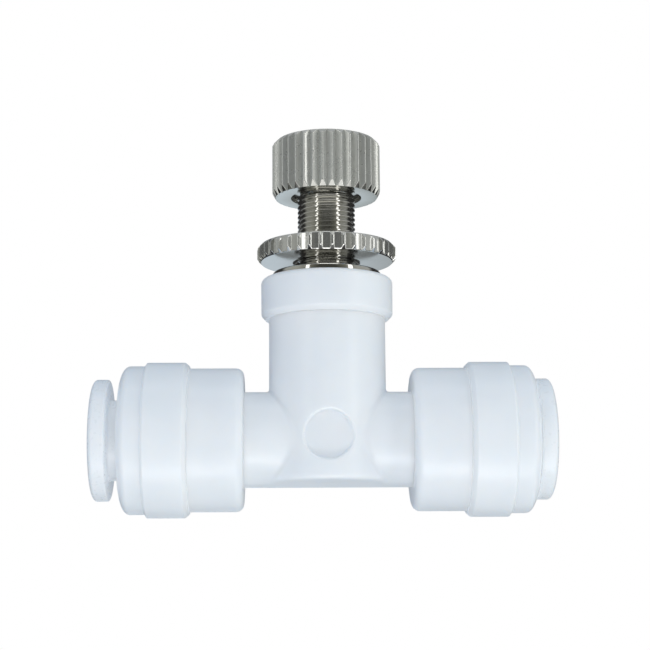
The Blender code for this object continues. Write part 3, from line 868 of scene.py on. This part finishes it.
def build_object():
    body_plastic = moulded_plastic("milky_acetal", (0.85, 0.865, 0.885), (0.82, 0.84, 0.865), 0.30)
    collet_plastic = moulded_plastic("collet_acetal", (0.855, 0.87, 0.89), (0.825, 0.845, 0.87), 0.28)
    nickel = plated_metal("nickel_plate", (0.69, 0.685, 0.655), (0.63, 0.62, 0.59), 0.08, 0.002 * MM)
    knurled = knurled_metal("knurled_nickel", (0.72, 0.72, 0.68), (0.66, 0.66, 0.62), 0.28, 0.68)
    notched = knurled_metal("notched_nickel", (0.72, 0.72, 0.70), (0.66, 0.66, 0.64), 0.14, 0.88)
    steel = plated_metal("tooth_steel", (0.60, 0.60, 0.61), (0.50, 0.50, 0.52), 0.22, 0.004 * MM)
    rubber = moulded_rubber("seal_rubber")
    place(build_tee(), "valve_body", body_plastic, "body_acetal", "valve_body")
    place(build_collar(), "valve_body", body_plastic, "body_acetal")
    for word, side in SIDES:
        place(build_barrel(word, side), "valve_body", body_plastic, "body_acetal")
        place(build_end_cap(word, side), "valve_body", body_plastic, "body_acetal", word + "_end_cap")
        collet_body = word + "_collet"
        place(build_collet(word, side), collet_body, collet_plastic, "collet_acetal", collet_body)
        for number in range(1, TOOTH_COUNT + 1):
            tooth = f"{word}_tooth_{number}"
            place(build_tooth(tooth), collet_body, steel, "spring_steel", tooth)
        spacer, seal = word + "_spacer_ring", word + "_tube_o_ring"
        place(build_spacer(word, side), "valve_body", collet_plastic, "collet_acetal", spacer)
        place(build_o_ring(seal, 0), "valve_body", rubber, "nitrile", seal)
    place(build_bushing(), "valve_body", nickel, "nickel_plate", "threaded_bushing")
    place(build_o_ring("bushing_o_ring", 2), "valve_body", rubber, "nitrile", "bushing_o_ring")
    place(build_o_ring("stem_o_ring", 2), "stem_seal", rubber, "nitrile", "stem_o_ring")
    place(build_thread(), "adjusting_screw", nickel, "nickel_plate", "needle_stem")
    for piece in build_shank():
        place(piece, "adjusting_screw", nickel, "nickel_plate")
    place(build_knob(), "adjusting_screw", knurled, "nickel_plate", "adjusting_knob")
    place(build_lock_nut(), "lock_nut", notched, "nickel_plate", "lock_nut")


# ---------------------------------------------------------------- studio

CAMERA_DISTANCE = 0.1727
CAMERA_RISE = math.radians(-10.1)
CAMERA_TURN = math.radians(-1.4)
CAMERA_ROLL = math.radians(-0.38)
CAMERA_LENS = 88.9
AIM_HEIGHT = 12.38 * MM
AIM_SIDE = -0.22 * MM

# What polished surfaces see. Walls go by bearing in degrees, 0 being the camera's side, and the
# ends below and above go from the camera's side (0) to the far side (1).
STUDIO_LOW_WALLS = (
    (-180, (0.60, 0.68, 0.75)), (-169, (0.50, 0.56, 0.62)), (-163, (0.03, 0.03, 0.03)),
    (-105, (0.03, 0.03, 0.03)), (-90, (0.30, 0.31, 0.29)), (-50, (0.22, 0.22, 0.18)),
    (-25, (0.06, 0.06, 0.05)), (25, (0.06, 0.06, 0.05)), (50, (0.22, 0.22, 0.20)),
    (90, (0.30, 0.31, 0.30)), (105, (0.03, 0.03, 0.03)), (163, (0.03, 0.03, 0.03)),
    (169, (0.34, 0.37, 0.38)), (176, (0.42, 0.46, 0.48)), (180, (0.60, 0.68, 0.75)))
STUDIO_HIGH_WALLS = (
    (-180, (0.24, 0.26, 0.27)), (-150, (0.22, 0.23, 0.24)), (-140, (0.05, 0.05, 0.05)),
    (-112, (0.05, 0.05, 0.05)), (-99, (0.42, 0.43, 0.41)), (-66, (0.40, 0.405, 0.37)),
    (-34, (0.16, 0.16, 0.13)), (-18, (0.06, 0.06, 0.05)), (18, (0.06, 0.06, 0.05)),
    (36, (0.16, 0.16, 0.13)), (66, (0.44, 0.445, 0.42)), (99, (0.46, 0.47, 0.46)),
    (112, (0.05, 0.05, 0.05)), (140, (0.05, 0.05, 0.05)), (150, (0.22, 0.23, 0.24)),
    (180, (0.24, 0.26, 0.27)))
STUDIO_BELOW = ((0.22, (1.0, 1.0, 1.0)), (0.42, (0.03, 0.03, 0.03)))
STUDIO_ABOVE = ((0.30, (0.36, 0.37, 0.37)), (0.60, (0.50, 0.52, 0.54)))

# Each glow is a direction and a colour.
SOFT_FILL = (
    ((0.0, 0.0, 1.0), (0.33, 0.45, 0.58)),
    ((0.0, 0.0, -1.0), (0.47, 0.55, 0.61)),
    ((-1.0, 0.0, 0.0), (0.59, 0.65, 0.74)),
    ((1.0, 0.0, 0.0), (0.88, 0.92, 0.92)),
    ((0.0, -1.0, 0.0), (0.72, 0.75, 0.77)),
    ((0.0, 1.0, 0.0), (0.20, 0.26, 0.38)))

# Each panel is a name, bearing, elevation, distance, size and power.
PANELS = (
    ("left_strip", -42, 0, 0.6, (0.08, 0.75), 0.35),
    ("right_strip", 50, 0, 0.6, (0.10, 0.75), 0.54),
    ("low_front", 4, -56, 0.2, (0.12, 0.06), 0.078),
    ("overhead", 0, 78, 0.6, (0.36, 0.15), 0.25))


def add_camera():
    aim = Vector((AIM_SIDE, 0.0, AIM_HEIGHT))
    away = Vector((math.sin(CAMERA_TURN) * math.cos(CAMERA_RISE),
                   -math.cos(CAMERA_TURN) * math.cos(CAMERA_RISE), math.sin(CAMERA_RISE)))
    data = bpy.data.cameras.new("studio_camera")
    data.lens = CAMERA_LENS
    data.sensor_width = 36.0
    data.clip_start = 0.01
    data.clip_end = 20.0
    camera = bpy.data.objects.new("studio_camera", data)
    camera.location = aim + away * CAMERA_DISTANCE
    look = (-away).to_track_quat("-Z", "Y")
    camera.rotation_euler = (look.to_matrix() @ Matrix.Rotation(CAMERA_ROLL, 3, "Z")).to_euler()
    bpy.context.scene.collection.objects.link(camera)
    bpy.context.scene.camera = camera


def add_panel(name, turn, rise, distance, size, power, colour=(1.0, 1.0, 1.0)):
    """A soft light panel facing the valve, from that bearing (0 is the camera's side) and elevation."""
    data = bpy.data.lights.new(name, "AREA")
    data.shape = "RECTANGLE"
    data.size, data.size_y = size
    data.energy = power
    data.color = colour
    panel = bpy.data.objects.new(name, data)
    turn, rise = math.radians(turn), math.radians(rise)
    away = Vector((math.sin(turn) * math.cos(rise), -math.cos(turn) * math.cos(rise), math.sin(rise)))
    panel.location = Vector((0.0, 0.0, AIM_HEIGHT)) + away * distance
    panel.rotation_euler = (-away).to_track_quat("-Z", "Y").to_euler()
    bpy.context.scene.collection.objects.link(panel)


def add_floor():
    """A plain pale table under the valve. It can't be seen from below, where the camera is."""
    size = 2.0
    height = cad_box[0][2] - 0.02 * MM
    floor = new_piece("floor", [(-size, -size, height), (size, -size, height),
                                (size, size, height), (-size, size, height)], [(0, 1, 2, 3)])
    material, tree, shader = node_material("pale_table")
    tint = noise(tree, object_place(tree), 6.0)
    tree.links.new(ramp(tree, tint, [(0.3, (0.86, 0.88, 0.90)), (0.7, (0.88, 0.895, 0.91))]),
                   shader.inputs["Base Color"])
    shader.inputs["Roughness"].default_value = 0.7
    shader.inputs["Emission Color"].default_value = (0.95, 0.97, 1.0, 1.0)
    shader.inputs["Emission Strength"].default_value = 0.35
    clear = tree.nodes.new("ShaderNodeBsdfTransparent")
    mix = tree.nodes.new("ShaderNodeMixShader")
    tree.links.new(tree.nodes.new("ShaderNodeNewGeometry").outputs["Backfacing"], mix.inputs[0])
    tree.links.new(shader.outputs[0], mix.inputs[1])
    tree.links.new(clear.outputs[0], mix.inputs[2])
    tree.links.new(mix.outputs[0], tree.nodes["Material Output"].inputs["Surface"])
    floor.data.materials.append(material)
    floor.visible_diffuse = False
    floor.visible_glossy = False
    floor.visible_shadow = False


def reflected_studio(tree, direction):
    """What polished surfaces see: two bands of walls, one below the horizon and one above it.

    Below them it is white on the camera's side and dark on the far side. The ceiling is grey.
    """
    split = tree.nodes.new("ShaderNodeSeparateXYZ")
    tree.links.new(direction, split.inputs[0])
    forward = math_node(tree, "MULTIPLY", split.outputs["Y"], -1.0)
    bearing = math_node(tree, "ARCTAN2", split.outputs["X"], forward)
    turn = math_node(tree, "MULTIPLY", bearing, 1.0 / math.tau)
    turn = math_node(tree, "ADD", turn, 0.5)
    low, high = [ramp(tree, turn, [(0.5 + degrees / 360.0, colour) for degrees, colour in walls])
                 for walls in (STUDIO_LOW_WALLS, STUDIO_HIGH_WALLS)]
    raised = tree.nodes.new("ShaderNodeMapRange")
    raised.inputs["From Min"].default_value = -0.06
    raised.inputs["From Max"].default_value = 0.06
    tree.links.new(split.outputs["Z"], raised.inputs["Value"])
    colour = colour_mix(tree, raised.outputs["Result"], low, high)
    depth = math_node(tree, "ADD", math_node(tree, "MULTIPLY", split.outputs["Y"], 0.5), 0.5)
    below = ramp(tree, depth, STUDIO_BELOW)
    above = ramp(tree, depth, STUDIO_ABOVE)
    for limits, end in (((-0.34, -0.50), below), ((0.45, 0.75), above)):
        share = tree.nodes.new("ShaderNodeMapRange")
        share.inputs["From Min"].default_value = limits[0]
        share.inputs["From Max"].default_value = limits[1]
        tree.links.new(split.outputs["Z"], share.inputs["Value"])
        colour = colour_mix(tree, share.outputs["Result"], colour, end)
    return colour


def soft_fill(tree, direction):
    """What lights the plastic: a soft glow from each of six sides, weakest from behind."""
    total = None
    for aim, colour in SOFT_FILL:
        share = math_node(tree, "MAXIMUM", vector_node(tree, "DOT_PRODUCT", direction, aim), 0.0)
        share = math_node(tree, "POWER", share, 2.0)
        glow = vector_node(tree, "MULTIPLY", share, colour)
        total = vector_node(tree, "ADD", total, glow) if total else glow
    return total


def add_background(tree, colour):
    node = tree.nodes.new("ShaderNodeBackground")
    if isinstance(colour, tuple):
        node.inputs["Color"].default_value = (*colour, 1.0)
    else:
        tree.links.new(colour, node.inputs["Color"])
    return node.outputs[0]


def add_world():
    """White to the camera, a soft fill for the plastic and a darker studio for what metal reflects."""
    world = bpy.data.worlds.new("studio")
    world.use_nodes = True
    tree = world.node_tree
    direction = tree.nodes.new("ShaderNodeTexCoord").outputs["Generated"]
    seen = tree.nodes.new("ShaderNodeLightPath")
    shown = add_background(tree, soft_fill(tree, direction))
    for ray, other in (("Is Glossy Ray", add_background(tree, reflected_studio(tree, direction))),
                       ("Is Camera Ray", add_background(tree, (1.0, 1.0, 1.0)))):
        mix = tree.nodes.new("ShaderNodeMixShader")
        tree.links.new(seen.outputs[ray], mix.inputs[0])
        tree.links.new(shown, mix.inputs[1])
        tree.links.new(other, mix.inputs[2])
        shown = mix.outputs[0]
    tree.links.new(shown, tree.nodes["World Output"].inputs["Surface"])
    bpy.context.scene.world = world
    bpy.context.scene.view_settings.view_transform = "Standard"


def build_studio():
    add_camera()
    add_floor()
    add_world()
    for panel in PANELS:
        add_panel(*panel)


build_object()
build_studio()
